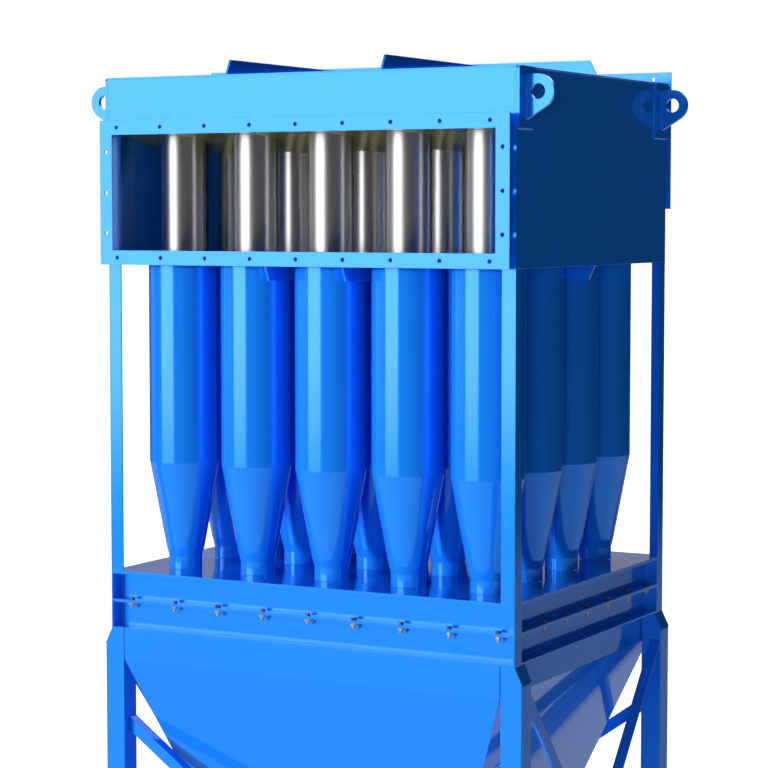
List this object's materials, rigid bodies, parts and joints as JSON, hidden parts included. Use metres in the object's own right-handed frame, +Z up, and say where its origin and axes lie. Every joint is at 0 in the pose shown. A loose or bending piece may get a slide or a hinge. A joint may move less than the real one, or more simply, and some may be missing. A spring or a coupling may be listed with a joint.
{
  "type": "cyclone separator",
  "caption": "Industrial multi-cyclone dust separator: gas housing with inlet and outlet flanges over rows of cyclones, bolted collars and a pyramid hopper on braced legs.",
  "frame": {"origin": "centre of the bounding box at floor level, midway between the four feet", "axes": "+Z up, +X to the right seen from the inlet, the inlet flange faces -Y and the outlet flange faces +Y"},
  "size_m": [1.792, 1.38, 4.4],
  "materials": {
    "blue_paint": "gloss",
    "stainless_tube": "polished",
    "passivated_zinc": "satin"
  },
  "bodies": {
    "root": {"corner_posts_front": "blue_paint", "corner_posts_rear": "blue_paint", "cyclone_top_plate": "blue_paint", "cyclones_row_1": "blue_paint", "cyclones_row_2": "blue_paint", "cyclones_row_3": "blue_paint", "cyclones_row_4": "blue_paint", "dust_plate": "blue_paint", "exhaust_tubes_row_1": "stainless_tube", "exhaust_tubes_row_2": "stainless_tube", "exhaust_tubes_row_3": "stainless_tube", "exhaust_tubes_row_4": "stainless_tube", "floor_ribs": "blue_paint", "foot_plates": "blue_paint", "front_brace": "blue_paint", "hopper_front_wall": "blue_paint", "hopper_left_wall": "blue_paint", "hopper_outlet_flange": "blue_paint", "hopper_rear_wall": "blue_paint", "hopper_right_wall": "blue_paint", "housing_front_wall": "blue_paint", "housing_left_wall": "blue_paint", "housing_rear_wall": "blue_paint", "housing_right_wall": "blue_paint", "inlet_flange": "blue_paint", "left_brace": "blue_paint", "leg_caps": "blue_paint", "leg_front_left": "blue_paint", "leg_front_right": "blue_paint", "leg_rear_left": "blue_paint", "leg_rear_right": "blue_paint", "lifting_lug_front_left": "blue_paint", "lifting_lug_front_right": "blue_paint", "lifting_lug_rear_left": "blue_paint", "lifting_lug_rear_right": "blue_paint", "lower_collar": "blue_paint", "lug_pads": "blue_paint", "outlet_flange": "blue_paint", "rear_brace": "blue_paint", "right_brace": "blue_paint", "roof_plate": "blue_paint", "roof_ribs": "blue_paint", "upper_collar": "blue_paint", "upper_tube_sheet": "passivated_zinc"}
  },
  "joints": []
}
